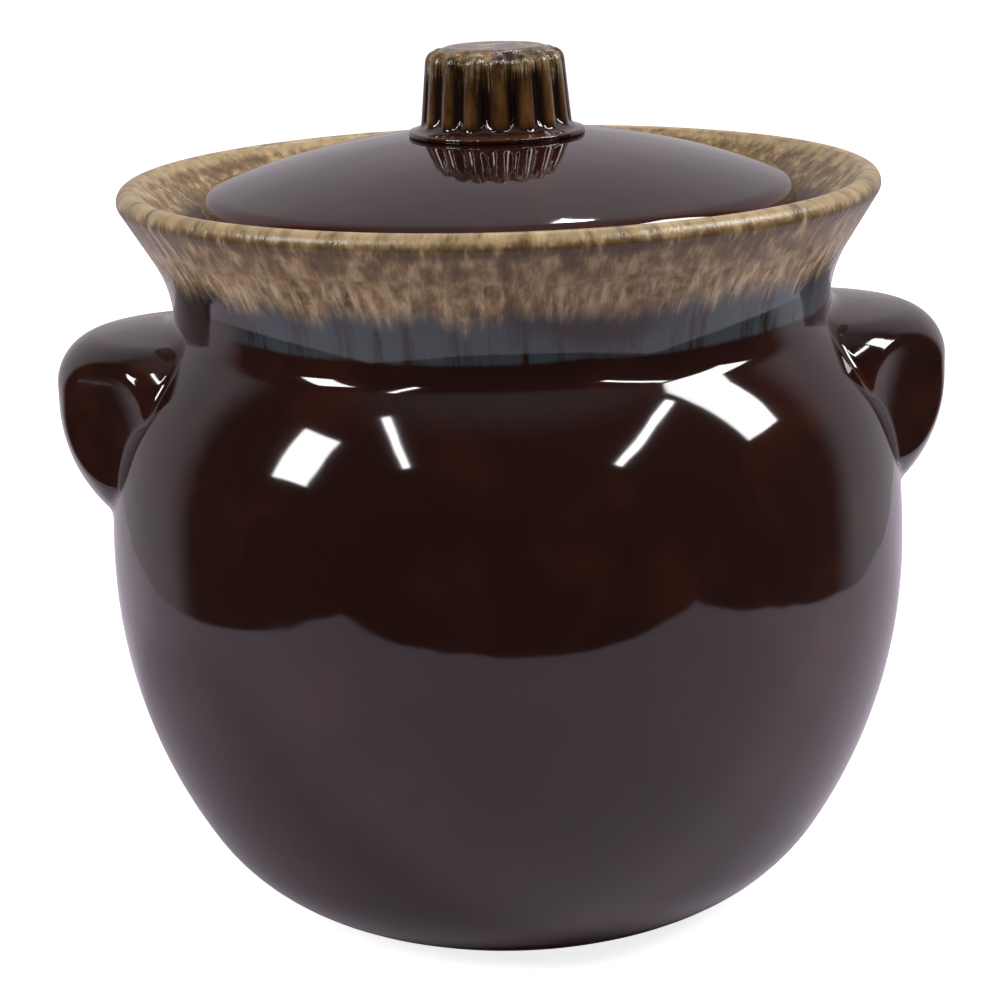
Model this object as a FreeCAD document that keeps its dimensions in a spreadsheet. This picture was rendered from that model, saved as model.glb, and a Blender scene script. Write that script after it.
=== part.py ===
import FreeCAD, Part
import math
import os

import Sketcher

# Stoneware bean pot: a glazed pot with two ear lugs, and a loose lid with a reeded knob.
# Millimetres. +Z is up, the origin is on the pot's axis at the level that the foot stands on,
# and the two lugs lie along X.

Vector = FreeCAD.Vector

doc = FreeCAD.newDocument("bean_pot")

# Driving sizes
driving_sizes = {
    # Outside of the pot, from the foot up
    "foot_radius": 47.5,
    "foot_ring_width": 6.0,
    "foot_recess": 2.0,
    "heel_height": 18.0,
    "belly_lower_curve": 113.0,
    "belly_radius": 86.3,
    "belly_height": 77.5,
    "belly_upper_curve": 180.0,
    "shoulder_height": 97.0,
    "crease_curve": 6.0,
    "neck_radius": 70.4,
    "neck_height": 130.0,
    "neck_curve": 27.0,
    "rim_radius": 81.0,
    "lip_curve": 2.6,
    "pot_height": 158.4,
    # Inside of the pot
    "belly_wall": 7.0,
    "floor_thickness": 8.0,
    "floor_curve": 30.0,
    "throat_radius": 58.5,
    "throat_curve": 14.0,
    "seat_height": 148.4,
    "seat_width": 7.7,
    # Lugs
    "lug_reach": 96.2,
    "lug_plan_radius": 30.0,
    "lug_top": 129.0,
    "lug_crown_curve": 120.0,
    "lug_top_curve": 11.0,
    "lug_waist": 112.0,
    "lug_under_curve": 33.4,
    "lug_depth_below_waist": 30.0,
    "lug_root_curve": 3.5,
    "dimple_radius": 60.0,
    "dimple_depth": 4.4,
    "dimple_height": 108.0,
    "dimple_bearing": 43.0,
    "dimple_edge_curve": 3.0,
    # Lid
    "seat_clearance": 0.3,
    "lid_radius": 63.4,
    "lid_dome_curve": 178.0,
    "lid_edge_curve": 4.0,
    "lid_edge_height": 4.4,
    "lid_under_curve": 1.6,
    "lid_wall": 5.5,
    "lid_hollow_curve": 5.0,
    "flange_clearance": 1.4,
    "flange_width": 4.5,
    "flange_drop": 8.0,
    # Knob
    "knob_height": 18.6,
    "knob_base_radius": 18.8,
    "knob_base_edge": 1.2,
    "core_lower_radius": 14.0,
    "core_upper_radius": 13.0,
    "crown_curve": 3.4,
    "reed_foot_height": 0.5,
    "reed_lower_radius": 2.7,
    "reed_upper_radius": 2.55,
    "reed_lower_centre": 13.5,
    "reed_upper_centre": 12.2,
    "reed_top_drop": 0.6,
}
reed_count = 16

sizes = doc.addObject("Spreadsheet::Sheet", "sizes")
for row, (alias, value) in enumerate(driving_sizes.items(), start=1):
    sizes.set("A%d" % row, alias)
    sizes.set("B%d" % row, str(value))
    sizes.setAlias("B%d" % row, alias)
doc.recompute()


def size(alias):
    """The value that the sheet holds under this name."""
    return float(getattr(sizes, alias))


# Outlines
def on_circle(centre, radius, direction):
    """The point of a circle that lies in a direction from its centre."""
    return centre + direction * radius


def unit(vector):
    """A vector of length one along another."""
    return vector * (1.0 / vector.Length)


class Outline:
    """A sketch on a body's XZ plane: X is the distance from the axis, and Y is the height."""

    def __init__(self, body, name):
        self.sketch = body.newObject("Sketcher::SketchObject", name)
        planes = [plane for plane in body.Origin.OriginFeatures if plane.Role == "XZ_Plane"]
        self.sketch.AttachmentSupport = (planes[0], "")
        self.sketch.MapMode = "FlatFace"
        self.pieces = []

    def line(self, start, end):
        """A straight piece from start to end."""
        index = self.sketch.addGeometry(Part.LineSegment(start, end), False)
        self.pieces.append((index, 1, 2))
        return index

    def arc(self, centre, start, end, turn):
        """An arc from start to end, anticlockwise where turn is 1 and clockwise where it is -1."""
        first, last = (start, end) if turn > 0 else (end, start)
        circle = Part.Circle(centre, Vector(0, 0, 1), (first - centre).Length)
        low = math.atan2(first.y - centre.y, first.x - centre.x)
        high = math.atan2(last.y - centre.y, last.x - centre.x)
        if high <= low:
            high += 2 * math.pi
        index = self.sketch.addGeometry(Part.ArcOfCircle(circle, low, high), False)
        self.pieces.append((index, 1, 2) if turn > 0 else (index, 2, 1))
        return index

    def close(self, corners):
        """Join each piece to the next: at a corner where the pair is listed, and else smoothly."""
        for position, (index, first, last) in enumerate(self.pieces):
            following, begin, _ = self.pieces[(position + 1) % len(self.pieces)]
            kind = "Coincident" if (index, following) in corners else "Tangent"
            self.sketch.addConstraint(Sketcher.Constraint(kind, index, last, following, begin))

    def bind(self, name, expression, kind, *where):
        """Add a named dimension that follows an expression of the sheet's sizes."""
        number = self.sketch.addConstraint(Sketcher.Constraint(kind, *where, self.start_value(kind, where)))
        self.sketch.renameConstraint(number, name)
        self.sketch.setExpression("Constraints." + name, expression)

    def start_value(self, kind, where):
        """What a dimension measures on the outline as it is first drawn."""
        if kind == "Radius":
            return self.sketch.Geometry[where[0]].Radius
        if kind == "Distance":
            return self.sketch.Geometry[where[0]].length()
        point = self.sketch.getPoint(where[-2], where[-1])
        return point.x if kind == "DistanceX" else point.y

    def radius(self, name, expression, index):
        self.bind(name, expression, "Radius", index)

    def place_x(self, name, expression, index, point):
        self.bind(name, expression, "DistanceX", -1, 1, index, point)

    def place_y(self, name, expression, index, point):
        self.bind(name, expression, "DistanceY", -1, 1, index, point)

    def fix(self, kind, *where):
        """Add a relation that has no size."""
        self.sketch.addConstraint(Sketcher.Constraint(kind, *where))


def turned(body, kind, name, outline):
    """Turn an outline all the way round its body's own axis."""
    feature = body.newObject(kind, name)
    feature.Profile = outline.sketch
    feature.ReferenceAxis = (outline.sketch, ["V_Axis"])
    feature.Angle = 360.0
    doc.recompute()
    return feature


# Pot outside: heel, belly, shoulder, crease, neck, flare, rolled lip, and the mouth down to the seat
foot = Vector(size("foot_radius"), 0, 0)
lower_centre = Vector(size("belly_radius") - size("belly_lower_curve"), size("belly_height"), 0)
upper_centre = Vector(size("belly_radius") - size("belly_upper_curve"), size("belly_height"), 0)
crease_centre = Vector(size("neck_radius") + size("crease_curve"), size("neck_height"), 0)
neck_centre = Vector(size("neck_radius") + size("neck_curve"), size("neck_height"), 0)
lip_centre = Vector(size("rim_radius") - size("lip_curve"), size("pot_height") - size("lip_curve"), 0)
belly_point = Vector(size("belly_radius"), size("belly_height"), 0)
neck_point = Vector(size("neck_radius"), size("neck_height"), 0)
seat_outer = Vector(size("throat_radius") + size("seat_width"), size("seat_height"), 0)

heel_slope = math.asin((size("heel_height") - size("belly_height")) / size("belly_lower_curve"))
heel_direction = Vector(math.cos(heel_slope), math.sin(heel_slope), 0)
heel_point = on_circle(lower_centre, size("belly_lower_curve"), heel_direction)
heel_chord = heel_point - foot
heel_centre = heel_point - heel_direction * (heel_chord.dot(heel_chord) / (2 * heel_chord.dot(heel_direction)))

shoulder_slope = math.asin((size("shoulder_height") - size("belly_height")) / size("belly_upper_curve"))
shoulder_direction = Vector(math.cos(shoulder_slope), math.sin(shoulder_slope), 0)
shoulder_point = on_circle(upper_centre, size("belly_upper_curve"), shoulder_direction)
to_shoulder = shoulder_point - crease_centre
shoulder_curve = (to_shoulder.dot(to_shoulder) - size("crease_curve") ** 2) / (
    2 * (size("crease_curve") + to_shoulder.dot(shoulder_direction))
)
shoulder_centre = shoulder_point - shoulder_direction * shoulder_curve
crease_direction = unit(crease_centre - shoulder_centre)
crease_point = on_circle(shoulder_centre, shoulder_curve, crease_direction)

# The straight flare touches the hollow neck curve on one side and the round lip on the other.
flare_span = lip_centre - neck_centre
flare_bearing = math.atan2(flare_span.y, flare_span.x)
flare_bearing += math.acos((size("neck_curve") + size("lip_curve")) / flare_span.Length)
flare_direction = Vector(math.cos(flare_bearing), math.sin(flare_bearing), 0)
flare_start = on_circle(neck_centre, size("neck_curve"), flare_direction)
flare_end = on_circle(lip_centre, size("lip_curve"), flare_direction * -1)
mouth_span = lip_centre - seat_outer
mouth_bearing = math.atan2(mouth_span.y, mouth_span.x) + math.asin(size("lip_curve") / mouth_span.Length)
mouth_direction = Vector(-math.sin(mouth_bearing), math.cos(mouth_bearing), 0)
mouth_end = on_circle(lip_centre, size("lip_curve"), mouth_direction)


def pot_outside(body, name):
    """Draw the outside of the pot, closed on its axis."""
    outline = Outline(body, name)
    heel = outline.arc(heel_centre, foot, heel_point, 1)
    lower = outline.arc(lower_centre, heel_point, belly_point, 1)
    upper = outline.arc(upper_centre, belly_point, shoulder_point, 1)
    shoulder = outline.arc(shoulder_centre, shoulder_point, crease_point, 1)
    crease = outline.arc(crease_centre, crease_point, neck_point, -1)
    neck = outline.arc(neck_centre, neck_point, flare_start, -1)
    flare = outline.line(flare_start, flare_end)
    lip = outline.arc(lip_centre, flare_end, mouth_end, 1)
    mouth = outline.line(mouth_end, seat_outer)
    seat = outline.line(seat_outer, Vector(0, seat_outer.y, 0))
    axis = outline.line(Vector(0, seat_outer.y, 0), Vector(0, 0, 0))
    base = outline.line(Vector(0, 0, 0), foot)
    outline.close({(mouth, seat), (seat, axis), (axis, base), (base, heel)})
    outline.fix("Coincident", axis, 2, -1, 1)
    outline.fix("Vertical", axis)
    outline.fix("Horizontal", base)
    outline.fix("Horizontal", seat)
    outline.place_x("foot_radius", "sizes.foot_radius", heel, 1)
    outline.place_y("heel_height", "sizes.heel_height", lower, 1)
    outline.radius("belly_lower_curve", "sizes.belly_lower_curve", lower)
    outline.place_x("belly_radius", "sizes.belly_radius", lower, 2)
    outline.place_y("belly_height", "sizes.belly_height", lower, 2)
    outline.place_y("lower_centre", "sizes.belly_height", lower, 3)
    outline.radius("belly_upper_curve", "sizes.belly_upper_curve", upper)
    outline.place_y("shoulder_height", "sizes.shoulder_height", upper, 2)
    outline.radius("crease_curve", "sizes.crease_curve", crease)
    outline.place_x("neck_radius", "sizes.neck_radius", crease, 1)
    outline.place_y("neck_height", "sizes.neck_height", crease, 1)
    outline.place_y("neck_centre", "sizes.neck_height", neck, 3)
    outline.radius("neck_curve", "sizes.neck_curve", neck)
    outline.radius("lip_curve", "sizes.lip_curve", lip)
    outline.place_x("lip_centre", "sizes.rim_radius - sizes.lip_curve", lip, 3)
    outline.place_y("lip_height", "sizes.pot_height - sizes.lip_curve", lip, 3)
    outline.place_x("seat_radius", "sizes.throat_radius + sizes.seat_width", mouth, 2)
    outline.place_y("seat_height", "sizes.seat_height", mouth, 2)
    found = outline.sketch.addConstraint(Sketcher.Constraint("Radius", shoulder, shoulder_curve))
    outline.sketch.setDriving(found, False)
    outline.sketch.renameConstraint(found, "shoulder_curve")
    return outline


# Pot inside: the floor, a belly wall of one thickness, and the straight throat below the seat
inner_lower_curve = size("belly_lower_curve") - size("belly_wall")
inner_upper_curve = size("belly_upper_curve") - size("belly_wall")
inner_shoulder_curve = shoulder_curve - size("belly_wall")
inner_belly_point = belly_point - Vector(size("belly_wall"), 0, 0)
inner_shoulder_point = on_circle(upper_centre, inner_upper_curve, shoulder_direction)
throat_x = size("throat_radius") + size("throat_curve")
throat_rise = math.sqrt((inner_shoulder_curve + size("throat_curve")) ** 2 - (throat_x - shoulder_centre.x) ** 2)
throat_centre = Vector(throat_x, shoulder_centre.y + throat_rise, 0)
throat_direction = unit(throat_centre - shoulder_centre)
throat_start = on_circle(shoulder_centre, inner_shoulder_curve, throat_direction)
throat_end = throat_centre - Vector(size("throat_curve"), 0, 0)
throat_top = Vector(size("throat_radius"), size("seat_height"), 0)
floor_y = size("floor_thickness") + size("floor_curve")
floor_run = math.sqrt((inner_lower_curve - size("floor_curve")) ** 2 - (floor_y - lower_centre.y) ** 2)
floor_centre = Vector(lower_centre.x + floor_run, floor_y, 0)
floor_direction = unit(floor_centre - lower_centre)
floor_end = on_circle(lower_centre, inner_lower_curve, floor_direction)
floor_start = floor_centre - Vector(0, size("floor_curve"), 0)


def pot_inside(body, name):
    """Draw the hollow of the pot, closed on its axis and open at the seat."""
    outline = Outline(body, name)
    floor = outline.line(Vector(0, floor_start.y, 0), floor_start)
    corner = outline.arc(floor_centre, floor_start, floor_end, 1)
    lower = outline.arc(lower_centre, floor_end, inner_belly_point, 1)
    upper = outline.arc(upper_centre, inner_belly_point, inner_shoulder_point, 1)
    shoulder = outline.arc(shoulder_centre, inner_shoulder_point, throat_start, 1)
    turn = outline.arc(throat_centre, throat_start, throat_end, -1)
    throat = outline.line(throat_end, throat_top)
    top = outline.line(throat_top, Vector(0, throat_top.y, 0))
    axis = outline.line(Vector(0, throat_top.y, 0), Vector(0, floor_start.y, 0))
    outline.close({(throat, top), (top, axis), (axis, floor)})
    outline.fix("PointOnObject", axis, 2, -2)
    outline.fix("Vertical", axis)
    outline.fix("Horizontal", floor)
    outline.fix("Horizontal", top)
    outline.fix("Vertical", throat)
    outline.place_y("floor_thickness", "sizes.floor_thickness", floor, 2)
    outline.radius("floor_curve", "sizes.floor_curve", corner)
    outline.radius("lower_curve", "sizes.belly_lower_curve - sizes.belly_wall", lower)
    outline.place_x("belly_radius", "sizes.belly_radius - sizes.belly_wall", lower, 2)
    outline.place_y("belly_height", "sizes.belly_height", lower, 2)
    outline.place_y("lower_centre", "sizes.belly_height", lower, 3)
    outline.radius("upper_curve", "sizes.belly_upper_curve - sizes.belly_wall", upper)
    outline.place_y(
        "shoulder_height",
        "sizes.belly_height + (sizes.shoulder_height - sizes.belly_height)"
        " * (1 - sizes.belly_wall / sizes.belly_upper_curve)",
        upper,
        2,
    )
    outline.radius("shoulder_curve", "pot_outside.Constraints.shoulder_curve / 1 mm - sizes.belly_wall", shoulder)
    outline.radius("throat_curve", "sizes.throat_curve", turn)
    outline.place_x("throat_radius", "sizes.throat_radius", throat, 2)
    outline.place_y("throat_top", "sizes.seat_height", throat, 2)
    return outline


def foot_recess(body, name):
    """Draw the shallow recess inside the foot ring."""
    inner_radius = size("foot_radius") - size("foot_ring_width")
    roof_radius = inner_radius - size("foot_recess")
    roof = size("foot_recess")
    outline = Outline(body, name)
    base = outline.line(Vector(0, 0, 0), Vector(inner_radius, 0, 0))
    side = outline.line(Vector(inner_radius, 0, 0), Vector(roof_radius, roof, 0))
    top = outline.line(Vector(roof_radius, roof, 0), Vector(0, roof, 0))
    axis = outline.line(Vector(0, roof, 0), Vector(0, 0, 0))
    outline.close({(base, side), (side, top), (top, axis), (axis, base)})
    outline.fix("Coincident", axis, 2, -1, 1)
    outline.fix("Horizontal", base)
    outline.fix("Horizontal", top)
    outline.fix("Vertical", axis)
    outline.place_x("ring_inside", "sizes.foot_radius - sizes.foot_ring_width", base, 2)
    outline.place_x("roof_radius", "sizes.foot_radius - sizes.foot_ring_width - sizes.foot_recess", top, 1)
    outline.place_y("recess", "sizes.foot_recess", top, 1)
    return outline


def finished(item, label):
    """Give a sub-part the label that names its file."""
    item.Label = label
    return item


def cut_away(feature, volume_before):
    """Stop where a cutting feature has taken nothing off its body."""
    volume_after = feature.Shape.Volume
    if volume_after > volume_before - 1.0:
        raise RuntimeError(feature.Name + " cuts nothing")
    return volume_after


pot = doc.addObject("PartDesign::Body", "pot_build")
outside = turned(pot, "PartDesign::Revolution", "pot_turned", pot_outside(pot, "pot_outside"))
hollow = turned(pot, "PartDesign::Groove", "pot_hollowed", pot_inside(pot, "pot_inside"))
volume = cut_away(hollow, outside.Shape.Volume)
cut_away(turned(pot, "PartDesign::Groove", "foot_hollowed", foot_recess(pot, "foot_recess")), volume)
doc.recompute()


def boolean(kind, name, base, tool):
    """Join, cut or keep the common part of two objects."""
    result = doc.addObject(kind, name)
    result.Base = base
    result.Tool = tool
    doc.recompute()
    return result


# The pot in two solids that meet face to face on the level of its narrowest neck
mouth_space = doc.addObject("Part::Cylinder", "mouth_space")
mouth_space.setExpression("Radius", "sizes.rim_radius + sizes.belly_radius")
mouth_space.setExpression("Height", "sizes.pot_height")
mouth_space.setExpression("Placement.Base.z", "sizes.neck_height")
doc.recompute()
pot_body = finished(boolean("Part::Cut", "pot_body_build", pot, mouth_space), "pot_body")
pot_mouth = finished(boolean("Part::Common", "pot_mouth_build", pot, mouth_space), "pot_mouth")

# Outer form of the whole pot, which the lugs are shaped against
wall_form = doc.addObject("Part::Revolution", "wall_form")
wall_form.Source = doc.getObject("pot_outside")
wall_form.Axis = Vector(0, 0, 1)
wall_form.Angle = 360.0
wall_form.Solid = True


# Lugs: a bun, round in plan and flat on top, sunk into the shoulder, with a thumb dimple in each end
def lug_outline(body, name):
    """Draw half of the bun about its own upright axis."""
    plan = size("lug_plan_radius")
    top = size("lug_top")
    waist = size("lug_waist")
    bottom = waist - size("lug_depth_below_waist")
    crown_curve = size("lug_crown_curve")
    corner_x = plan - size("lug_top_curve")
    corner_y = top - crown_curve + math.sqrt((crown_curve - size("lug_top_curve")) ** 2 - corner_x**2)
    corner_centre = Vector(corner_x, corner_y, 0)
    crown_centre = Vector(0, top - crown_curve, 0)
    crown_edge = on_circle(crown_centre, crown_curve, unit(corner_centre - crown_centre))
    under_centre = Vector(plan - size("lug_under_curve"), waist, 0)
    under_run = math.sqrt(size("lug_under_curve") ** 2 - (bottom - waist) ** 2)
    under_end = Vector(under_centre.x + under_run, bottom, 0)
    outline = Outline(body, name)
    base = outline.line(Vector(0, bottom, 0), under_end)
    under = outline.arc(under_centre, under_end, Vector(plan, waist, 0), 1)
    side = outline.line(Vector(plan, waist, 0), Vector(plan, corner_y, 0))
    corner = outline.arc(corner_centre, Vector(plan, corner_y, 0), crown_edge, 1)
    crown = outline.arc(crown_centre, crown_edge, Vector(0, top, 0), 1)
    axis = outline.line(Vector(0, top, 0), Vector(0, bottom, 0))
    outline.close({(base, under), (crown, axis), (axis, base)})
    outline.fix("PointOnObject", axis, 2, -2)
    outline.fix("Vertical", axis)
    outline.fix("PointOnObject", crown, 3, -2)
    outline.fix("Horizontal", base)
    outline.fix("Vertical", side)
    outline.place_x("plan_radius", "sizes.lug_plan_radius", side, 1)
    outline.place_y("waist", "sizes.lug_waist", side, 1)
    outline.place_y("top", "sizes.lug_top", crown, 2)
    outline.place_y("bottom", "sizes.lug_waist - sizes.lug_depth_below_waist", base, 1)
    outline.radius("top_curve", "sizes.lug_top_curve", corner)
    outline.radius("crown_curve", "sizes.lug_crown_curve", crown)
    outline.radius("under_curve", "sizes.lug_under_curve", under)
    return outline


def dimple(name, side):
    """A ball that presses the thumb dimple into one end of the lug."""
    ball = doc.addObject("Part::Sphere", name)
    ball.setExpression("Radius", "sizes.dimple_radius")
    centre = "sizes.lug_plan_radius + sizes.dimple_radius - sizes.dimple_depth"
    ball.setExpression(
        "Placement.Base.x",
        "sizes.lug_reach - sizes.lug_plan_radius + sin(sizes.dimple_bearing) * (" + centre + ")",
    )
    ball.setExpression("Placement.Base.y", "%d * cos(sizes.dimple_bearing) * (" % side + centre + ")")
    ball.setExpression("Placement.Base.z", "sizes.dimple_height")
    return ball


def points_along(edge):
    """Four points spread along an edge."""
    span = edge.LastParameter - edge.FirstParameter
    return [edge.valueAt(edge.FirstParameter + span * share) for share in (0.1, 0.35, 0.6, 0.9)]


def edges_on(shape, *surfaces):
    """The numbers of a shape's edges that lie on every one of the surfaces given."""
    numbers = []
    for number, edge in enumerate(shape.Edges, start=1):
        spots = [Part.Vertex(point) for point in points_along(edge)]
        if all(surface.distToShape(spot)[0] < 0.001 for surface in surfaces for spot in spots):
            numbers.append(number)
    return numbers


def rounded(name, base, numbers, radius):
    """Round some edges of an object."""
    result = doc.addObject("Part::Fillet", name)
    result.Base = base
    result.Edges = [(number, radius, radius) for number in numbers]
    doc.recompute()
    return result


lug_blank = doc.addObject("PartDesign::Body", "lug_blank")
turned(lug_blank, "PartDesign::Revolution", "lug_turned", lug_outline(lug_blank, "lug_outline"))
lug_blank.setExpression("Placement.Base.x", "sizes.lug_reach - sizes.lug_plan_radius")
doc.recompute()
lug_pressed = lug_blank
dimple_edges = []
for name, side in (("dimple_front", -1), ("dimple_back", 1)):
    ball = dimple(name, side)
    lug_pressed = boolean("Part::Cut", "pressed_by_" + name, lug_pressed, ball)
for name in ("dimple_front", "dimple_back"):
    dimple_edges += edges_on(lug_pressed.Shape, doc.getObject(name).Shape.Faces[0])
lug_soft = rounded("lug_soft", lug_pressed, dimple_edges, size("dimple_edge_curve"))
lug_luted = boolean("Part::Fuse", "lug_luted", lug_soft, wall_form)
root_edges = edges_on(lug_luted.Shape, lug_soft.Shape, wall_form.Shape)
root_edges = [number for number in root_edges if lug_luted.Shape.Edges[number - 1].CenterOfMass.x > size("throat_radius")]
lug_rooted = rounded("lug_rooted", lug_luted, root_edges, size("lug_root_curve"))
lug_right = doc.addObject("Part::Feature", "lug_right_build")
lug_right.Shape = lug_rooted.Shape.cut(wall_form.Shape).Solids[0]
lug_left = doc.addObject("Part::Feature", "lug_left_build")
lug_left.Shape = lug_right.Shape.copy()
lug_left.Placement.Rotation = FreeCAD.Rotation(Vector(0, 0, 1), 180)
finished(lug_right, "lug_right")
finished(lug_left, "lug_left")
doc.recompute()

# Lid: a domed disc whose brim rests on the seat, with a flange below that drops into the throat
dome_curve = size("lid_dome_curve")
brim_y = size("seat_height") + size("seat_clearance")
edge_centre = Vector(size("lid_radius") - size("lid_edge_curve"), brim_y + size("lid_edge_height"), 0)
dome_drop = math.sqrt((dome_curve - size("lid_edge_curve")) ** 2 - edge_centre.x**2)
dome_centre = Vector(0, edge_centre.y - dome_drop, 0)
dome_edge = on_circle(dome_centre, dome_curve, unit(edge_centre - dome_centre))
knob_seat_x = size("knob_base_radius")
knob_seat = Vector(knob_seat_x, dome_centre.y + math.sqrt(dome_curve**2 - knob_seat_x**2), 0)
flange_x = size("throat_radius") - size("flange_clearance")
flange_end_y = brim_y - size("flange_drop")
flange_end_curve = size("flange_width") / 2
hollow_x = flange_x - size("flange_width")
hollow_curve = dome_curve - size("lid_wall")
hollow_corner_x = hollow_x - size("lid_hollow_curve")
hollow_rise = math.sqrt((hollow_curve - size("lid_hollow_curve")) ** 2 - hollow_corner_x**2)
hollow_corner = Vector(hollow_corner_x, dome_centre.y + hollow_rise, 0)
hollow_edge = on_circle(dome_centre, hollow_curve, unit(hollow_corner - dome_centre))


def lid_outline(body, name):
    """Draw half of the lid: seat for the knob, dome, brim, flange and hollow."""
    under = size("lid_under_curve")
    lid_x = size("lid_radius")
    outline = Outline(body, name)
    seat = outline.line(Vector(0, knob_seat.y, 0), knob_seat)
    dome = outline.arc(dome_centre, knob_seat, dome_edge, -1)
    edge = outline.arc(edge_centre, dome_edge, Vector(lid_x, edge_centre.y, 0), -1)
    side = outline.line(Vector(lid_x, edge_centre.y, 0), Vector(lid_x, brim_y + under, 0))
    corner_centre = Vector(lid_x - under, brim_y + under, 0)
    corner = outline.arc(corner_centre, Vector(lid_x, brim_y + under, 0), Vector(lid_x - under, brim_y, 0), -1)
    brim = outline.line(Vector(lid_x - under, brim_y, 0), Vector(flange_x, brim_y, 0))
    end_y = flange_end_y + flange_end_curve
    outer = outline.line(Vector(flange_x, brim_y, 0), Vector(flange_x, end_y, 0))
    end_centre = Vector(flange_x - flange_end_curve, end_y, 0)
    end = outline.arc(end_centre, Vector(flange_x, end_y, 0), Vector(hollow_x, end_y, 0), -1)
    inner = outline.line(Vector(hollow_x, end_y, 0), Vector(hollow_x, hollow_corner.y, 0))
    turn = outline.arc(hollow_corner, Vector(hollow_x, hollow_corner.y, 0), hollow_edge, 1)
    roof = outline.arc(dome_centre, hollow_edge, Vector(0, dome_centre.y + hollow_curve, 0), 1)
    axis = outline.line(Vector(0, dome_centre.y + hollow_curve, 0), Vector(0, knob_seat.y, 0))
    outline.close({(seat, dome), (brim, outer), (roof, axis), (axis, seat)})
    outline.fix("PointOnObject", axis, 2, -2)
    outline.fix("PointOnObject", dome, 3, -2)
    outline.fix("Coincident", roof, 3, dome, 3)
    for level in (seat, brim):
        outline.fix("Horizontal", level)
    for upright in (side, outer, inner, axis):
        outline.fix("Vertical", upright)
    outline.radius("dome_curve", "sizes.lid_dome_curve", dome)
    outline.place_x("knob_seat_radius", "sizes.knob_base_radius", seat, 2)
    outline.radius("edge_curve", "sizes.lid_edge_curve", edge)
    outline.place_x("lid_radius", "sizes.lid_radius", side, 1)
    brim_level = "sizes.seat_height + sizes.seat_clearance"
    outline.place_y("edge_height", brim_level + " + sizes.lid_edge_height", side, 1)
    outline.radius("under_curve", "sizes.lid_under_curve", corner)
    outline.place_y("brim_level", brim_level, brim, 1)
    flange_radius = "sizes.throat_radius - sizes.flange_clearance"
    outline.place_x("flange_radius", flange_radius, outer, 1)
    outline.place_x("hollow_radius", flange_radius + " - sizes.flange_width", inner, 1)
    outline.place_y("flange_end", brim_level + " - sizes.flange_drop + sizes.flange_width / 2", inner, 1)
    outline.radius("hollow_corner_curve", "sizes.lid_hollow_curve", turn)
    outline.radius("hollow_curve", "sizes.lid_dome_curve - sizes.lid_wall", roof)
    found = outline.sketch.addConstraint(Sketcher.Constraint("DistanceY", -1, 1, seat, 2, knob_seat.y))
    outline.sketch.setDriving(found, False)
    outline.sketch.renameConstraint(found, "knob_seat_height")
    return outline


lid = doc.addObject("PartDesign::Body", "lid_build")
turned(lid, "PartDesign::Revolution", "lid_turned", lid_outline(lid, "lid_outline"))
finished(lid, "lid")

# Knob: a tapered core on a flared collar, with upright reeds round it and a rounded crown
knob_y = size("knob_height")
collar_y = size("knob_base_edge")
collar_x = size("knob_base_radius")
collar_curve = collar_x - size("core_lower_radius")
crown_centre = Vector(size("core_upper_radius") - size("crown_curve"), knob_y - size("crown_curve"), 0)
core_low = Vector(size("core_lower_radius"), collar_y + collar_curve, 0)
core_lean = unit(crown_centre + Vector(size("crown_curve"), 0, 0) - core_low)
core_out = Vector(core_lean.y, -core_lean.x, 0)


def knob_core(body, name):
    """Draw half of the knob's core: base, collar edge, flared collar, tapered side, crown and top."""
    outline = Outline(body, name)
    crown = size("crown_curve")
    base = outline.line(Vector(0, 0, 0), Vector(collar_x, 0, 0))
    edge = outline.line(Vector(collar_x, 0, 0), Vector(collar_x, collar_y, 0))
    collar_centre = Vector(collar_x, collar_y + collar_curve, 0)
    collar_end = on_circle(collar_centre, collar_curve, core_out * -1)
    collar = outline.arc(collar_centre, Vector(collar_x, collar_y, 0), collar_end, -1)
    shoulder = on_circle(crown_centre, crown, core_out)
    side = outline.line(collar_end, shoulder)
    turn = outline.arc(crown_centre, shoulder, Vector(crown_centre.x, knob_y, 0), 1)
    top = outline.line(Vector(crown_centre.x, knob_y, 0), Vector(0, knob_y, 0))
    axis = outline.line(Vector(0, knob_y, 0), Vector(0, 0, 0))
    outline.close({(base, edge), (edge, collar), (top, axis), (axis, base)})
    outline.fix("Coincident", axis, 2, -1, 1)
    for level in (base, top):
        outline.fix("Horizontal", level)
    for upright in (edge, axis):
        outline.fix("Vertical", upright)
    outline.place_x("base_radius", "sizes.knob_base_radius", base, 2)
    outline.place_y("base_edge", "sizes.knob_base_edge", edge, 2)
    outline.place_x("collar_centre", "sizes.knob_base_radius", collar, 3)
    outline.radius("collar_curve", "sizes.knob_base_radius - sizes.core_lower_radius", collar)
    outline.place_x("crown_centre", "sizes.core_upper_radius - sizes.crown_curve", turn, 3)
    outline.radius("crown_curve", "sizes.crown_curve", turn)
    outline.place_y("knob_height", "sizes.knob_height", top, 1)
    return outline


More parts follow.
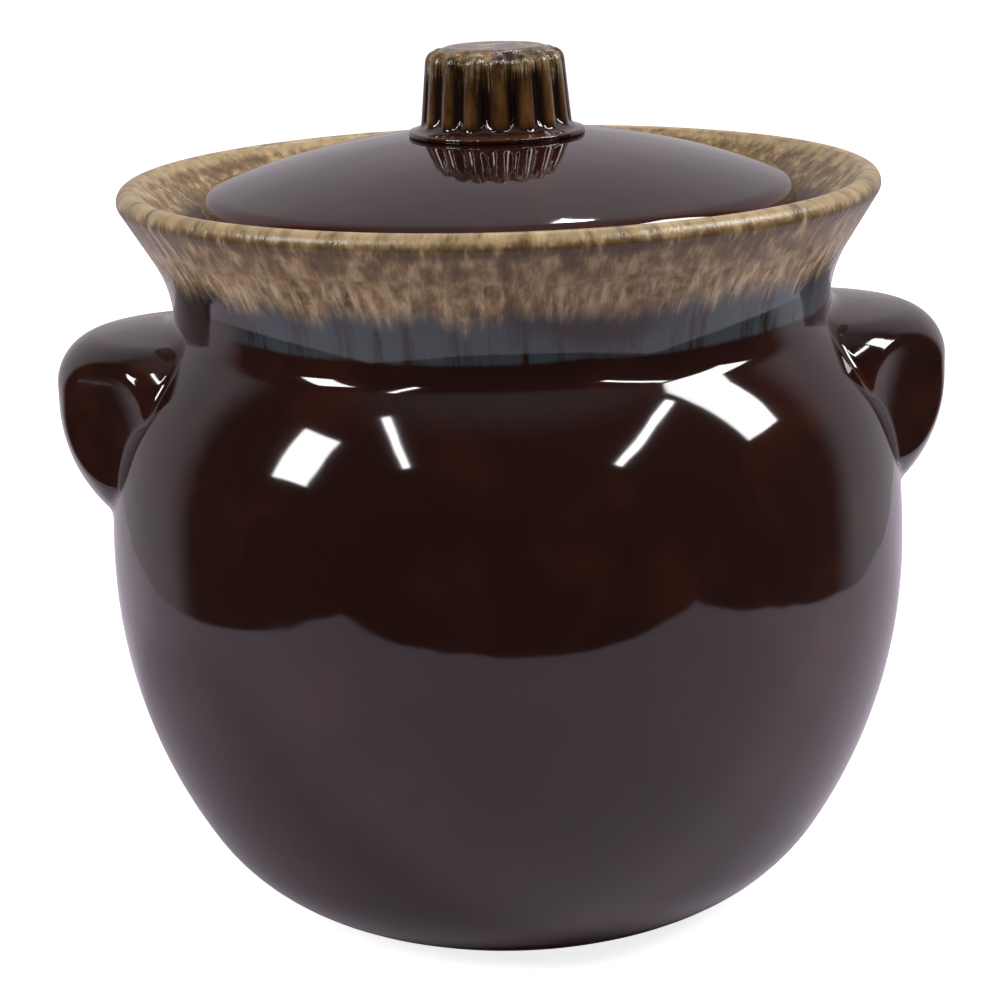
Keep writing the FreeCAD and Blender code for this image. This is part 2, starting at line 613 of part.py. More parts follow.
def reed_half(body, name):
    """Draw half of a reed that leans in towards the knob's axis, with a ball for its upper end."""
    foot_centre = Vector(size("reed_lower_centre"), size("reed_foot_height"), 0)
    top_radius = size("reed_upper_radius")
    top_centre = Vector(size("reed_upper_centre"), knob_y - size("reed_top_drop") - top_radius, 0)
    lean = unit(top_centre - foot_centre)
    outward = Vector(lean.y, -lean.x, 0)
    foot_end = foot_centre + outward * size("reed_lower_radius")
    shoulder = top_centre + outward * top_radius
    tip = top_centre + lean * top_radius
    outline = Outline(body, name)
    centre_line = outline.sketch.addGeometry(Part.LineSegment(foot_centre, top_centre), True)
    foot = outline.line(foot_centre, foot_end)
    side = outline.line(foot_end, shoulder)
    ball = outline.arc(top_centre, shoulder, tip, 1)
    back = outline.line(tip, foot_centre)
    outline.close({(foot, side), (ball, back), (back, foot)})
    outline.fix("Coincident", foot, 1, centre_line, 1)
    outline.fix("Coincident", ball, 3, centre_line, 2)
    outline.fix("PointOnObject", back, 1, centre_line)
    outline.fix("Perpendicular", foot, centre_line)
    outline.place_x("lower_centre", "sizes.reed_lower_centre", centre_line, 1)
    outline.place_y("foot_height", "sizes.reed_foot_height", centre_line, 1)
    outline.place_x("upper_centre", "sizes.reed_upper_centre", centre_line, 2)
    top_level = "sizes.knob_height - sizes.reed_top_drop - sizes.reed_upper_radius"
    outline.place_y("top_level", top_level, centre_line, 2)
    outline.bind("lower_radius", "sizes.reed_lower_radius", "Distance", foot)
    outline.radius("upper_radius", "sizes.reed_upper_radius", ball)
    return outline


knob = doc.addObject("PartDesign::Body", "knob_build")
turned(knob, "PartDesign::Revolution", "knob_turned", knob_core(knob, "knob_core"))
reed_outline = reed_half(knob, "reed_half")
doc.recompute()
reed = knob.newObject("PartDesign::Revolution", "reed")
reed.Profile = reed_outline.sketch
reed.ReferenceAxis = (reed_outline.sketch, ["Axis0"])
reed.Angle = 360.0
doc.recompute()
reeds = knob.newObject("PartDesign::PolarPattern", "reeds")
reeds.Originals = [reed]
reeds.Axis = (reed_outline.sketch, ["V_Axis"])
reeds.Angle = 360.0
reeds.Occurrences = reed_count
knob.Tip = reeds
doc.recompute()
knob.setExpression("Placement.Base.z", "lid_outline.Constraints.knob_seat_height")
finished(knob, "knob")
doc.recompute()

# Check every object, and then write each sub-part to its own file
for item in doc.Objects:
    if "Invalid" in item.State or "Error" in item.State:
        raise RuntimeError(item.Name + " has failed")
sub_parts = (pot_body, pot_mouth, lug_right, lug_left, lid, knob)
for item in sub_parts:
    if item.Shape.isNull() or not item.Shape.isValid() or len(item.Shape.Solids) != 1:
        raise RuntimeError(item.Label + " isn't one valid solid")
os.makedirs("parts", exist_ok=True)
for item in sub_parts:
    item.Shape.exportStep(os.path.join("parts", item.Label + ".step"))
    box = item.Shape.optimalBoundingBox()
    corners = (box.XMin, box.XMax, box.YMin, box.YMax, box.ZMin, box.ZMax)
    print(item.Label, "%.0f mm3" % item.Shape.Volume, "box", " ".join("%.2f" % corner for corner in corners))
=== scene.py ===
import math

import bmesh
import bpy
from mathutils import Matrix, Vector


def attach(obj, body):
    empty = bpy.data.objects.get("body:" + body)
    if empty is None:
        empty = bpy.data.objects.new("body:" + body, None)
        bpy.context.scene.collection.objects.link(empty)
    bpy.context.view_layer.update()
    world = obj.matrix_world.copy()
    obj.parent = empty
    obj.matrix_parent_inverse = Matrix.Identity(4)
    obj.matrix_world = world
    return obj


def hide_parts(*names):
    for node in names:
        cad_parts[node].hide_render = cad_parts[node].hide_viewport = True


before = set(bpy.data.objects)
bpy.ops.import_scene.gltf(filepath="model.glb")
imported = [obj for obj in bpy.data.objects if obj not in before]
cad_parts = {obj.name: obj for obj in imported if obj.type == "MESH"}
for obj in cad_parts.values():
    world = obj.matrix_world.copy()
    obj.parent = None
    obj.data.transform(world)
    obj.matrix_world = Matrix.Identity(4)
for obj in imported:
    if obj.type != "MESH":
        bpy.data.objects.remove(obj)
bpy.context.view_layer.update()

# Camera. It looks down a little at the pot from in front, slightly to the left of square, with a
# long lens, and it leans over by a degree or two as a hand-held one does.
camera_distance = 0.560
camera_height = 0.23843
camera_turn = math.radians(2.395)
camera_dip = math.radians(15.24)
camera_lean = math.radians(1.65)
lens_camera = bpy.data.cameras.new("camera")
lens_camera.lens = 94.75
lens_camera.sensor_width = 36.0
lens_camera.shift_x = -0.0074
camera = bpy.data.objects.new("camera", lens_camera)
bpy.context.collection.objects.link(camera)
camera_side = -camera_distance * math.sin(camera_turn)
camera_front = -camera_distance * math.cos(camera_turn)
camera.matrix_world = (
    Matrix.Translation((camera_side, camera_front, camera_height))
    @ Matrix.Rotation(-camera_turn, 4, "Z")
    @ Matrix.Rotation(math.pi / 2 - camera_dip, 4, "X")
    @ Matrix.Rotation(-camera_lean, 4, "Z")
)
bpy.context.scene.camera = camera

# Pot. Red-brown stoneware thrown on a wheel: a full round belly, a pinched neck, a flared mouth
# with a rolled lip, a ledge inside for the lid, and a turned foot ring left bare of glaze.
foot_radius = 0.0475
foot_ring_width = 0.006
foot_recess = 0.002
heel_height = 0.018
belly_lower_curve = 0.113
belly_radius = 0.0863
belly_height = 0.0775
belly_upper_curve = 0.180
shoulder_height = 0.097
crease_curve = 0.006
neck_radius = 0.0704
neck_height = 0.130
neck_curve = 0.027
rim_radius = 0.081
lip_curve = 0.0026
pot_height = 0.1584
belly_wall = 0.007
floor_thickness = 0.008
floor_curve = 0.030
throat_radius = 0.0585
throat_curve = 0.014
seat_height = 0.1484
seat_width = 0.0077
turn_steps = 256


def bearing(way):
    """The angle of a direction in a half outline."""
    return math.atan2(way.y, way.x)


def swept(centre, radius, start, finish, steps):
    """Points round a circle from one bearing to another, without the last."""
    angles = [start + (finish - start) * step / steps for step in range(steps)]
    return [centre + Vector((math.cos(angle), math.sin(angle))) * radius for angle in angles]


def run(start, finish, steps):
    """Points along a straight stretch, without the last."""
    return [start.lerp(finish, step / steps) for step in range(steps)]


def spun(name, outline, steps):
    """Spin a closed half outline about the pot's axis into a mesh object."""
    shape = bmesh.new()
    corners = [shape.verts.new((point.x, 0, point.y)) for point in outline]
    edges = [shape.edges.new(pair) for pair in zip(corners, corners[1:])]
    bmesh.ops.spin(
        shape,
        geom=corners + edges,
        cent=(0, 0, 0),
        axis=(0, 0, 1),
        angle=2 * math.pi,
        steps=steps,
        use_merge=True,
    )
    bmesh.ops.remove_doubles(shape, verts=shape.verts, dist=0.000002)
    bmesh.ops.recalc_face_normals(shape, faces=shape.faces)
    return finished(name, shape)


def finished(name, shape):
    """Make a smooth object of a bmesh, with creases over 35 degrees kept sharp."""
    for face in shape.faces:
        face.smooth = True
    for edge in shape.edges:
        edge.smooth = not (edge.is_manifold and edge.calc_face_angle() > math.radians(35))
    mesh = bpy.data.meshes.new(name)
    shape.to_mesh(mesh)
    shape.free()
    piece = bpy.data.objects.new(name, mesh)
    bpy.context.collection.objects.link(piece)
    return piece


lower_centre = Vector((belly_radius - belly_lower_curve, belly_height))
upper_centre = Vector((belly_radius - belly_upper_curve, belly_height))
crease_centre = Vector((neck_radius + crease_curve, neck_height))
neck_centre = Vector((neck_radius + neck_curve, neck_height))
lip_centre = Vector((rim_radius - lip_curve, pot_height - lip_curve))
seat_outer = Vector((throat_radius + seat_width, seat_height))
heel_bearing = math.asin((heel_height - belly_height) / belly_lower_curve)
heel_way = Vector((math.cos(heel_bearing), math.sin(heel_bearing)))
heel_point = lower_centre + heel_way * belly_lower_curve
heel_chord = heel_point - Vector((foot_radius, 0))
heel_curve = heel_chord.dot(heel_chord) / (2 * heel_chord.dot(heel_way))
heel_centre = heel_point - heel_way * heel_curve
shoulder_bearing = math.asin((shoulder_height - belly_height) / belly_upper_curve)
shoulder_way = Vector((math.cos(shoulder_bearing), math.sin(shoulder_bearing)))
shoulder_point = upper_centre + shoulder_way * belly_upper_curve
to_shoulder = shoulder_point - crease_centre
shoulder_curve = to_shoulder.dot(to_shoulder) - crease_curve**2
shoulder_curve /= 2 * (crease_curve + to_shoulder.dot(shoulder_way))
shoulder_centre = shoulder_point - shoulder_way * shoulder_curve
crease_bearing = bearing(crease_centre - shoulder_centre)
flare_span = lip_centre - neck_centre
flare_bearing = bearing(flare_span) + math.acos((neck_curve + lip_curve) / flare_span.length)
mouth_span = lip_centre - seat_outer
mouth_bearing = bearing(mouth_span) + math.asin(lip_curve / mouth_span.length) + math.pi / 2
flare_way = Vector((math.cos(flare_bearing), math.sin(flare_bearing)))
mouth_way = Vector((math.cos(mouth_bearing), math.sin(mouth_bearing)))
foot_centre = Vector((foot_radius, 0))
outside = swept(heel_centre, heel_curve, bearing(foot_centre - heel_centre), heel_bearing, 10)
outside += swept(lower_centre, belly_lower_curve, heel_bearing, 0, 16)
outside += swept(upper_centre, belly_upper_curve, 0, shoulder_bearing, 6)
outside += swept(shoulder_centre, shoulder_curve, shoulder_bearing, crease_bearing, 16)
outside += swept(crease_centre, crease_curve, crease_bearing + math.pi, math.pi, 8)
outside += swept(neck_centre, neck_curve, math.pi, flare_bearing, 10)
outside += run(neck_centre + flare_way * neck_curve, lip_centre - flare_way * lip_curve, 4)
outside += swept(lip_centre, lip_curve, flare_bearing - math.pi, mouth_bearing, 14)
mouth = run(lip_centre + mouth_way * lip_curve, seat_outer, 8)

inner_shoulder_curve = shoulder_curve - belly_wall
throat_reach = throat_radius + throat_curve
throat_rise = math.sqrt((inner_shoulder_curve + throat_curve) ** 2 - (throat_reach - shoulder_centre.x) ** 2)
throat_centre = Vector((throat_reach, shoulder_centre.y + throat_rise))
throat_bearing = bearing(throat_centre - shoulder_centre)
floor_level = floor_thickness + floor_curve
floor_run = math.sqrt((belly_lower_curve - belly_wall - floor_curve) ** 2 - (floor_level - belly_height) ** 2)
floor_centre = Vector((lower_centre.x + floor_run, floor_level))
floor_bearing = bearing(floor_centre - lower_centre)
inside = run(seat_outer, Vector((throat_radius, seat_height)), 4)
inside += run(Vector((throat_radius, seat_height)), Vector((throat_radius, throat_centre.y)), 4)
inside += swept(throat_centre, throat_curve, math.pi, throat_bearing + math.pi, 8)
inside += swept(shoulder_centre, inner_shoulder_curve, throat_bearing, shoulder_bearing, 8)
inside += swept(upper_centre, belly_upper_curve - belly_wall, shoulder_bearing, 0, 4)
inside += swept(lower_centre, belly_lower_curve - belly_wall, 0, floor_bearing, 10)
inside += swept(floor_centre, floor_curve, floor_bearing, -math.pi / 2, 8)
inside += run(Vector((floor_centre.x, floor_thickness)), Vector((0, floor_thickness)), 4)
inside.append(Vector((0, floor_thickness)))
ring_inside = foot_radius - foot_ring_width
underside = [Vector((0, foot_recess)), Vector((ring_inside - foot_recess, foot_recess))]
underside.append(Vector((ring_inside, 0)))
pot = spun("pot", underside + outside + mouth + inside, turn_steps)


def node(tree, kind, settings=None, **values):
    """Add a shader node, set its options, and fill or link its inputs by name."""
    made = tree.nodes.new(kind)
    for option, value in (settings or {}).items():
        setattr(made, option, value)
    for name, value in values.items():
        by_number = name[0] == "i" and name[1:].isdigit()
        socket = made.inputs[int(name[1:]) if by_number else name.replace("_", " ")]
        if isinstance(value, bpy.types.NodeSocket):
            tree.links.new(value, socket)
        else:
            socket.default_value = value
    return made


def sums(tree, operation, first, second=0.0, third=0.0):
    """One step of arithmetic on two or three numbers."""
    return node(tree, "ShaderNodeMath", {"operation": operation}, i0=first, i1=second, i2=third).outputs[0]


def times(tree, first, second):
    """The product of two numbers."""
    return sums(tree, "MULTIPLY", first, second)


def rest(tree, share):
    """What a share leaves of 1."""
    return sums(tree, "SUBTRACT", 1.0, share)


def between(tree, value, low, high):
    """0 below low, 1 above high, and smooth between them."""
    settings = {"interpolation_type": "SMOOTHSTEP"}
    return node(tree, "ShaderNodeMapRange", settings, i0=value, i1=low, i2=high, i3=0.0, i4=1.0).outputs[0]


def blended(tree, share, first, second):
    """A colour between two colours."""
    return node(tree, "ShaderNodeMix", {"data_type": "RGBA"}, i0=share, i6=first, i7=second).outputs[2]


def mottle(tree, place, scale, detail=3.0, roughness=0.55):
    """Cloudy variation from 0 to 1."""
    noise = node(tree, "ShaderNodeTexNoise", Vector=place, Scale=scale, Detail=detail, Roughness=roughness)
    return noise.outputs[0]


def stretched(tree, place, scale):
    """Object coordinates pulled or squeezed along each axis."""
    return node(tree, "ShaderNodeMapping", Vector=place, Scale=scale).outputs[0]


def ramp(tree, value, stops):
    """Colours along a scale from 0 to 1."""
    made = node(tree, "ShaderNodeValToRGB", Fac=value)
    scale = made.color_ramp
    scale.elements.remove(scale.elements[1])
    scale.elements[0].position, scale.elements[0].color = stops[0][0], (*stops[0][1], 1)
    for position, colour in stops[1:]:
        scale.elements.new(position).color = (*colour, 1)
    return made.outputs[0]


def new_finish(name):
    """An empty material, its object coordinates, and its height and distance from the axis."""
    made = bpy.data.materials.new(name)
    made.use_nodes = True
    tree = made.node_tree
    tree.nodes.clear()
    place = node(tree, "ShaderNodeTexCoord").outputs["Object"]
    parts = node(tree, "ShaderNodeSeparateXYZ", Vector=place).outputs
    across = times(tree, parts[0], parts[0])
    along = times(tree, parts[1], parts[1])
    reach = sums(tree, "POWER", sums(tree, "ADD", across, along), 0.5)
    return made, tree, place, parts[2], reach


def close_finish(tree, colour, roughness, height, depth):
    """Join colour, roughness and surface height to the shader and the output."""
    bump = node(tree, "ShaderNodeBump", Height=height, Strength=1.0, Distance=depth)
    shader = node(tree, "ShaderNodeBsdfPrincipled", Base_Color=colour, Roughness=roughness)
    tree.links.new(bump.outputs[0], shader.inputs["Normal"])
    shader.inputs["IOR"].default_value = 1.5
    node(tree, "ShaderNodeOutputMaterial", Surface=shader.outputs[0])


def wrapped(tree, place, squeeze):
    """Coordinates wrapped round the axis, so that a pattern runs straight down the wall."""
    parts = node(tree, "ShaderNodeSeparateXYZ", Vector=place).outputs
    level = node(tree, "ShaderNodeCombineXYZ", i0=parts[0], i1=parts[1], i2=0.0).outputs[0]
    way = node(tree, "ShaderNodeVectorMath", {"operation": "NORMALIZE"}, i0=level).outputs[0]
    round_it = node(tree, "ShaderNodeVectorMath", {"operation": "SCALE"}, i0=way, Scale=rim_radius).outputs[0]
    squeezed = times(tree, parts[2], squeeze)
    down = node(tree, "ShaderNodeCombineXYZ", i0=0.0, i1=0.0, i2=squeezed).outputs[0]
    return node(tree, "ShaderNodeVectorMath", {"operation": "ADD"}, i0=round_it, i1=down).outputs[0]


dark_glaze = (0.0130, 0.0036, 0.0030, 1)
thin_glaze = (0.050, 0.0110, 0.0060, 1)
# Blue-grey neck band colour: partly the glaze's own blue opalescence, partly a painted reflection of the pale
# table in the concave neck.
bloom_and_sheen_blue = (0.044, 0.062, 0.073, 1)
foam_cream = (0.60, 0.46, 0.27)
foam_tan = (0.270, 0.170, 0.072)
foam_brown = (0.088, 0.050, 0.017)
clay_dark = (0.36, 0.24, 0.14)
clay_buff = (0.55, 0.40, 0.26)
clay_pale = (0.62, 0.48, 0.33)
lip_brown = (0.062, 0.031, 0.0075, 1)
crest_tan = (0.40, 0.30, 0.155, 1)
drip_edge = 0.1415
bloom_and_sheen_edge = 0.1318
lip_line_low = 0.1526
lip_line_high = 0.1564
crest_low = 0.1560
lip_outer_reach = 0.0768
ledge_reach = 0.0672


def brown_tone(tree, place, scale, span, thin_share):
    """The dark brown glaze, clouded with the red-brown of thinner glaze."""
    thin = between(tree, mottle(tree, place, scale, 3), *span)
    return blended(tree, thin_share, dark_glaze, blended(tree, thin, dark_glaze, thin_glaze))


def foam_colour(tree, place, outer, cream_share):
    """Mottled tan drip glaze, with brown clouds and cream streaks that run down the outer wall."""
    still = mottle(tree, place, 300, 5, 0.62)
    drawn = mottle(tree, wrapped(tree, place, 0.60), 300, 5, 0.62)
    cloud = sums(tree, "MULTIPLY_ADD", outer, sums(tree, "SUBTRACT", drawn, still), still)
    body = ramp(tree, cloud, [(0.32, foam_brown), (0.50, foam_tan), (0.86, foam_cream)])
    streak = mottle(tree, wrapped(tree, place, 0.30), 480, 3, 0.6)
    cream = times(tree, between(tree, streak, 0.44, 0.68), cream_share)
    return blended(tree, cream, body, (*foam_cream, 1)), cloud, streak


def pot_glaze():
    """Dark glossy glaze, a blue-grey neck band that is part glaze opalescence and part painted table
    reflection, and foamy tan drip glaze at the mouth.
    """
    made, tree, place, height, reach = new_finish("pot_glaze")
    slow = mottle(tree, place, 28, 2)
    runs = mottle(tree, wrapped(tree, place, 0.05), 130, 2, 0.5)
    teeth = mottle(tree, wrapped(tree, place, 0.07), 420, 2, 0.6)
    wander = sums(tree, "MULTIPLY_ADD", runs, 0.009, -0.0045)
    ragged = sums(tree, "MULTIPLY_ADD", teeth, 0.004, -0.002)
    above = sums(tree, "SUBTRACT", height, sums(tree, "ADD", wander, ragged))
    foam = between(tree, above, drip_edge - 0.003, drip_edge + 0.0035)
    near_edge = rest(tree, between(tree, above, drip_edge + 0.002, drip_edge + 0.010))
    outer = between(tree, reach, lip_outer_reach, lip_outer_reach + 0.0008)
    cream_share = sums(tree, "MULTIPLY_ADD", near_edge, 0.9, 0.08)
    colour, cloud, fine_streak = foam_colour(tree, place, outer, cream_share)
    dusk = times(tree, between(tree, height, 0.1465, 0.1520), between(tree, cloud, 0.62, 0.45))
    colour = blended(tree, times(tree, dusk, 0.5), colour, (*foam_brown, 1))
    above_line = between(tree, height, lip_line_high - 0.0011, lip_line_high)
    line = times(tree, between(tree, height, lip_line_low, lip_line_low + 0.0019), rest(tree, above_line))
    line = times(tree, line, times(tree, outer, between(tree, fine_streak, 0.30, 0.55)))
    colour = blended(tree, times(tree, line, 0.85), colour, lip_brown)
    crest = between(tree, height, crest_low, crest_low + 0.0014)
    crest = times(tree, crest, between(tree, cloud, 0.25, 0.55))
    colour = blended(tree, times(tree, crest, 0.65), colour, crest_tan)
    # Painted shadow: the lid's ledge and the foot of the mouth just outside it are darkened to lip brown,
    # standing in for the shade in the gap under the lid's edge.
    inward = rest(tree, between(tree, reach, ledge_reach, ledge_reach + 0.0033))
    ledge = times(tree, inward, between(tree, height, seat_height - 0.0004, seat_height - 0.0001))
    colour = blended(tree, times(tree, ledge, 0.8), colour, lip_brown)
    tone = brown_tone(tree, place, 60, (0.45, 0.75), 0.35)
    # Blue-grey band under the drip glaze down to a crisp lower edge: partly the glaze's blue opalescence
    # where it thins, partly a painted reflection of the pale table in the concave neck.
    bloom_and_sheen_low = sums(tree, "MULTIPLY_ADD", slow, 0.003, bloom_and_sheen_edge - 0.0015)
    bloom_and_sheen = between(tree, sums(tree, "SUBTRACT", height, bloom_and_sheen_low), -0.0003, 0.0009)
    patch = between(tree, mottle(tree, place, 17, 1), 0.40, 0.50)
    veil = between(tree, mottle(tree, wrapped(tree, place, 0.15), 260, 3, 0.65), 0.28, 0.55)
    bloom_and_sheen = times(tree, bloom_and_sheen, times(tree, patch, veil))
    tone = blended(tree, times(tree, bloom_and_sheen, 0.85), tone, bloom_and_sheen_blue)
    colour = blended(tree, foam, tone, colour)
    rough = sums(tree, "MULTIPLY_ADD", foam, 0.28, 0.06)
    waves = times(tree, mottle(tree, place, 45, 2), 0.25)
    bubbles = times(tree, sums(tree, "ADD", cloud, fine_streak), times(tree, foam, 0.5))
    close_finish(tree, colour, rough, sums(tree, "ADD", waves, bubbles), 0.0006)
    return made


def inside_glaze():
    """Plain brown glaze over the inside of the pot and its seat."""
    made, tree, place, _, _ = new_finish("inside_glaze")
    tone = brown_tone(tree, place, 70, (0.35, 0.7), 1.0)
    close_finish(tree, tone, 0.1, mottle(tree, place, 60, 2), 0.0003)
    return made


def bare_clay():
    """Buff fired clay, fine and sandy."""
    made, tree, place, _, _ = new_finish("bare_clay")
    grain = mottle(tree, place, 900, 4, 0.7)
    colour = ramp(tree, grain, [(0.3, clay_dark), (0.6, clay_buff), (0.75, clay_pale)])
    close_finish(tree, colour, 0.85, grain, 0.0003)
    return made


pot_finishes = [pot_glaze(), inside_glaze(), bare_clay()]
for finish in pot_finishes:
    pot.data.materials.append(finish)
for face in pot.data.polygons:
    middle = face.center
    reach = math.hypot(middle.x, middle.y)
    if middle.z < 0.0012 or (middle.z < 0.0025 and reach < foot_radius - 0.001):
        face.material_index = 2
    elif reach < throat_radius + seat_width and middle.z > floor_thickness / 2:
        heel = middle.z < 0.03 and face.normal.z < 0 and reach > 0.04
        indoors = middle.z < seat_height + 0.0001 or reach < throat_radius
        face.material_index = 1 if indoors and not heel else 0
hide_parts("pot_body", "pot_mouth")
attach(pot, "pot")

# Lugs. Two solid bun-shaped handles pressed from the same clay and luted to the shoulder while it
# was still damp, each with a shallow thumb dimple at both ends, and glazed with the pot.


def merged_copy(source, name):
    """A smooth copy of a solid's surface, with its loose triangles joined."""
    shape = bmesh.new()
    shape.from_mesh(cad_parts[source].data)
    bmesh.ops.remove_doubles(shape, verts=shape.verts, dist=0.000005)
    return finished(name, shape)


def lug_glaze():
    """The pot's dark glaze, thinner and redder on the lugs."""
    made, tree, place, _, _ = new_finish("lug_glaze")
    tone = brown_tone(tree, place, 75, (0.4, 0.75), 0.6)
    close_finish(tree, tone, 0.07, mottle(tree, place, 60, 2), 0.0002)
    return made


lug_finish = lug_glaze()
for side in ("right", "left"):
    lug = merged_copy("lug_" + side, "lug_skin_" + side)
    lug.data.materials.clear()
    lug.data.materials.append(lug_finish)
    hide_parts("lug_" + side)
    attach(lug, "pot")

# Lid. A thrown disc of the same clay with a low dome, a rounded edge that rests on the pot's
# ledge, and a flange below that keeps it in place. Glazed dark all over but for the flange.
seat_clearance = 0.0003
lid_radius = 0.0634
lid_dome_curve = 0.178
lid_edge_curve = 0.004
lid_edge_height = 0.0044
lid_under_curve = 0.0016
lid_wall = 0.0055
lid_hollow_curve = 0.005
flange_clearance = 0.0014
flange_width = 0.0045
flange_drop = 0.008
knob_base_radius = 0.0188
brim = seat_height + seat_clearance
edge_centre = Vector((lid_radius - lid_edge_curve, brim + lid_edge_height))
dome_drop = math.sqrt((lid_dome_curve - lid_edge_curve) ** 2 - edge_centre.x**2)
dome_centre = Vector((0, edge_centre.y - dome_drop))
dome_bearing = bearing(edge_centre - dome_centre)
knob_bearing = math.acos(knob_base_radius / lid_dome_curve)
knob_seat = dome_centre + Vector((math.cos(knob_bearing), math.sin(knob_bearing))) * lid_dome_curve
under_centre = Vector((lid_radius - lid_under_curve, brim + lid_under_curve))
flange_radius = throat_radius - flange_clearance
flange_inside = flange_radius - flange_width
flange_centre = Vector((flange_radius - flange_width / 2, brim - flange_drop + flange_width / 2))
hollow_curve = lid_dome_curve - lid_wall
hollow_reach = flange_inside - lid_hollow_curve
hollow_rise = math.sqrt((hollow_curve - lid_hollow_curve) ** 2 - hollow_reach**2)
hollow_corner = Vector((hollow_reach, dome_centre.y + hollow_rise))
hollow_bearing = bearing(hollow_corner - dome_centre)
lid_outline = run(Vector((0, knob_seat.y)), knob_seat, 3)
lid_outline += swept(dome_centre, lid_dome_curve, knob_bearing, dome_bearing, 16)
lid_outline += swept(edge_centre, lid_edge_curve, dome_bearing, 0, 10)
lid_outline += swept(under_centre, lid_under_curve, 0, -math.pi / 2, 6)
lid_outline += run(Vector((under_centre.x, brim)), Vector((flange_radius, brim)), 2)
lid_outline += run(Vector((flange_radius, brim)), Vector((flange_radius, flange_centre.y)), 3)
lid_outline += swept(flange_centre, flange_width / 2, 0, -math.pi, 10)
lid_outline += run(Vector((flange_inside, flange_centre.y)), Vector((flange_inside, hollow_corner.y)), 3)
lid_outline += swept(hollow_corner, lid_hollow_curve, 0, hollow_bearing, 8)
lid_outline += swept(dome_centre, hollow_curve, hollow_bearing, math.pi / 2, 10)
lid_outline.append(Vector((0, dome_centre.y + hollow_curve)))
lid = spun("lid_skin", lid_outline, turn_steps)


def lid_glaze():
    """Dark glossy glaze with a warmer, thinner edge."""
    made, tree, place, _, reach = new_finish("lid_glaze")
    tone = brown_tone(tree, place, 60, (0.45, 0.75), 0.35)
    edge = between(tree, reach, lid_radius - 0.003, lid_radius - 0.0005)
    tone = blended(tree, times(tree, edge, 0.5), tone, thin_glaze)
    close_finish(tree, tone, 0.05, mottle(tree, place, 45, 2), 0.0002)
    return made


lid.data.materials.append(lid_glaze())
lid.data.materials.append(pot_finishes[2])
for face in lid.data.polygons:
    reach = math.hypot(face.center.x, face.center.y)
    if face.center.z < brim + 0.0002 and reach > flange_inside - 0.0002:
        face.material_index = 1
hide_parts("lid")
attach(lid, "lid")

# Knob. Pressed in a mould with sixteen upright reeds and stuck to the top of the lid with slip.
# The glaze has run off the reeds and pooled in the grooves, and foamy drip glaze caps the crown.
reed_foot_reach = 0.0144
reed_taper = 0.075
groove_black = (0.009, 0.0036, 0.0026, 1)
reed_brown = (0.055, 0.022, 0.0065)
reed_amber = (0.21, 0.10, 0.028)
collar_orange = (0.14, 0.050, 0.016, 1)
crown_brown = (0.022, 0.011, 0.005)
crown_olive = (0.135, 0.080, 0.028)
crown_tan = (0.42, 0.31, 0.17)
knob = merged_copy("knob", "knob_skin")
melt = knob.modifiers.new("melt", "REMESH")
melt.mode = "VOXEL"
melt.voxel_size = 0.00035
melt.use_smooth_shade = True
settle = knob.modifiers.new("settle", "SMOOTH")
settle.factor = 0.5
settle.iterations = 5


def knob_glaze():
    """Amber reeds, black grooves, an orange line at the collar and tan foam on the crown."""
    made, tree, place, height, reach = new_finish("knob_glaze")
    rise = sums(tree, "SUBTRACT", height, knob_seat.y)
    lean = sums(tree, "MULTIPLY_ADD", rise, -reed_taper, reed_foot_reach)
    proud = sums(tree, "SUBTRACT", reach, lean)
    crest = between(tree, proud, 0.0009, 0.0021)
    fleck = mottle(tree, stretched(tree, place, (1, 1, 0.4)), 300, 3)
    amber = ramp(tree, fleck, [(0.35, reed_brown), (0.68, reed_amber)])
    tone = blended(tree, crest, groove_black, amber)
    collar = rest(tree, between(tree, rise, 0.0022, 0.0046))
    tone = blended(tree, collar, tone, dark_glaze)
    line = times(tree, between(tree, rise, 0.0007, 0.0010), rest(tree, between(tree, rise, 0.0013, 0.0019)))
    tone = blended(tree, times(tree, line, 0.3), tone, collar_orange)
    cloud = mottle(tree, place, 230, 5, 0.65)
    foam = ramp(tree, cloud, [(0.38, crown_brown), (0.52, crown_olive), (0.70, crown_tan)])
    run_down = sums(tree, "MULTIPLY_ADD", mottle(tree, wrapped(tree, place, 0.12), 520, 2), 0.016, -0.008)
    cap = between(tree, sums(tree, "SUBTRACT", rise, run_down), 0.0118, 0.0160)
    tone = blended(tree, cap, tone, foam)
    bubbles = times(tree, cloud, times(tree, cap, 0.7))
    close_finish(tree, tone, sums(tree, "MULTIPLY_ADD", cap, 0.10, 0.06), bubbles, 0.0005)
    return made


knob.data.materials.clear()
knob.data.materials.append(knob_glaze())
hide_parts("knob")
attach(knob, "lid")

# Table and light. A narrow pale table whose front edge is near the pot, with a pale wall behind it
# and a dark room in front, two broad lamps, two narrow ones and a small one overhead.
table_width = 0.64
table_depth = 3.2
table_front = 0.32
table_colour = (0.62, 0.56, 0.65, 1)
table_glow = 0.82
lamp_distance = 1.4
lamp_aim_height = 0.1
dark_room = (0.085, 0.058, 0.045, 1)
pale_wall = (0.56, 0.52, 0.56, 1)
dim_ceiling = (0.36, 0.35, 0.37, 1)
white = (1, 1, 1, 1)
floor_shape = bmesh.new()
bmesh.ops.create_grid(floor_shape, x_segments=1, y_segments=1, size=0.5)
bmesh.ops.scale(floor_shape, verts=floor_shape.verts, vec=(table_width, table_depth, 1))
bmesh.ops.translate(floor_shape, verts=floor_shape.verts, vec=(0, table_depth / 2 - table_front, 0))
floor_piece = finished("floor", floor_shape)
floor_finish = bpy.data.materials.new("floor")
floor_finish.use_nodes = True
floor_tree = floor_finish.node_tree
floor_shader = floor_tree.nodes["Principled BSDF"]
floor_shader.inputs["Base Color"].default_value = table_colour
floor_shader.inputs["Roughness"].default_value = 0.7
floor_light = node(floor_tree, "ShaderNodeLightPath").outputs["Is Camera Ray"]
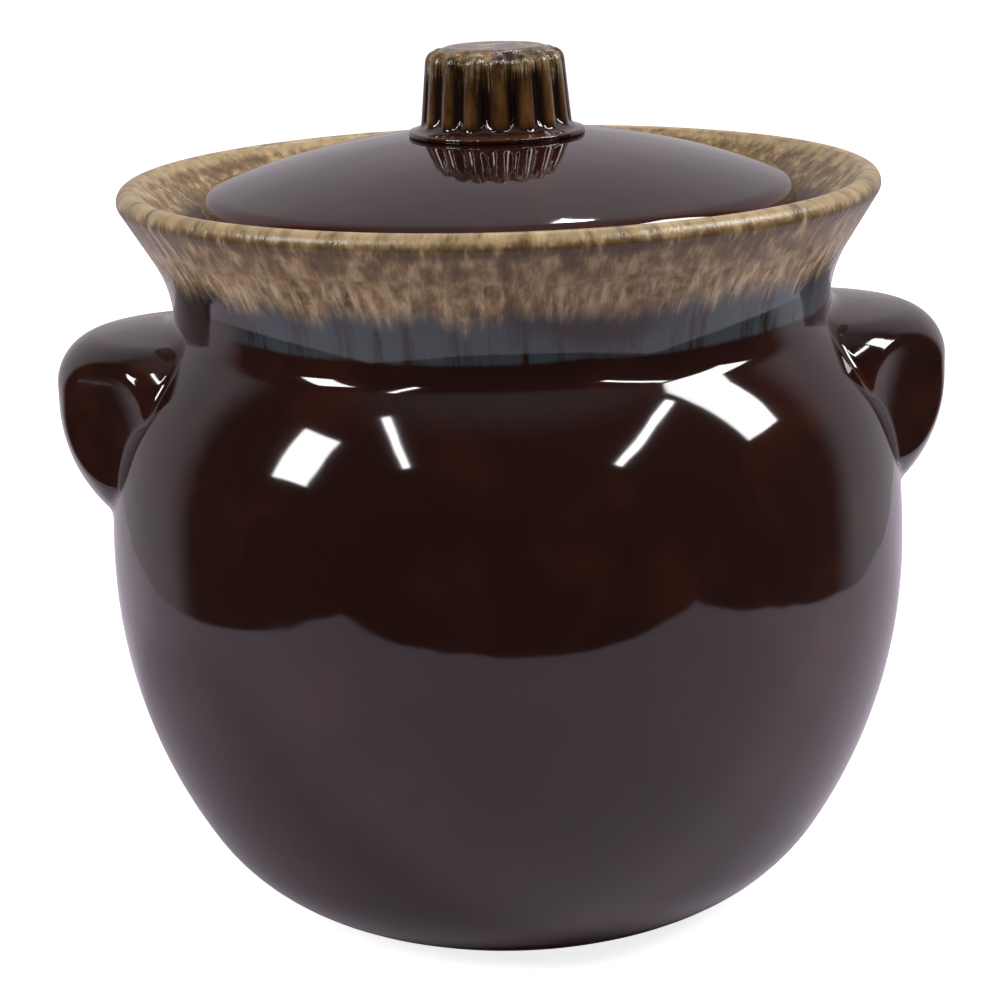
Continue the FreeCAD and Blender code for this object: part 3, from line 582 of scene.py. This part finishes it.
floor_tree.links.new(times(floor_tree, floor_light, table_glow), floor_shader.inputs["Emission Strength"])
floor_shader.inputs["Emission Color"].default_value = white
floor_piece.data.materials.append(floor_finish)


def lamp(name, azimuth, elevation, width, length, power, lean=0):
    """A flat lamp that faces the pot. Azimuth runs from the front towards the right, in degrees."""
    flat = bpy.data.lights.new(name, "AREA")
    flat.shape = "RECTANGLE"
    flat.size = width
    flat.size_y = length
    flat.energy = power
    held = bpy.data.objects.new(name, flat)
    bpy.context.collection.objects.link(held)
    turn, lift = math.radians(azimuth), math.radians(elevation)
    way = Vector((math.sin(turn) * math.cos(lift), -math.cos(turn) * math.cos(lift), math.sin(lift)))
    spot = way * lamp_distance
    aim = spot.to_track_quat("Z", "Y").to_matrix().to_4x4()
    shift = Matrix.Translation(spot + Vector((0, 0, lamp_aim_height)))
    held.matrix_world = shift @ aim @ Matrix.Rotation(math.radians(lean), 4, "Z")


lamp("lamp_right", azimuth=84, elevation=40, width=0.34, length=0.72, power=17)
lamp("lamp_left", azimuth=-68, elevation=30, width=0.29, length=0.48, power=11)
lamp("lamp_above", azimuth=-14, elevation=127, width=0.09, length=0.09, power=1.2)
lamp("strip_left", azimuth=-42, elevation=45, width=0.05, length=0.6, power=3, lean=35)
lamp("strip_right", azimuth=48, elevation=43, width=0.06, length=0.8, power=5, lean=-55)

world = bpy.data.worlds.new("room")
bpy.context.scene.world = world
world.use_nodes = True
room = world.node_tree
room.nodes.clear()
view_way = node(room, "ShaderNodeTexCoord").outputs["Generated"]
way = node(room, "ShaderNodeSeparateXYZ", Vector=view_way).outputs
behind = between(room, way[1], 0.18, 0.42)
level = blended(room, behind, dark_room, pale_wall)
overhead = between(room, way[2], 0.75, 0.97)
level = blended(room, overhead, level, dim_ceiling)
seen = node(room, "ShaderNodeLightPath").outputs["Is Camera Ray"]
shade = blended(room, seen, level, white)
backdrop = node(room, "ShaderNodeBackground", Color=shade, Strength=1.0)
node(room, "ShaderNodeOutputWorld", Surface=backdrop.outputs[0])

look = bpy.context.scene.view_settings
look.view_transform = "Standard"
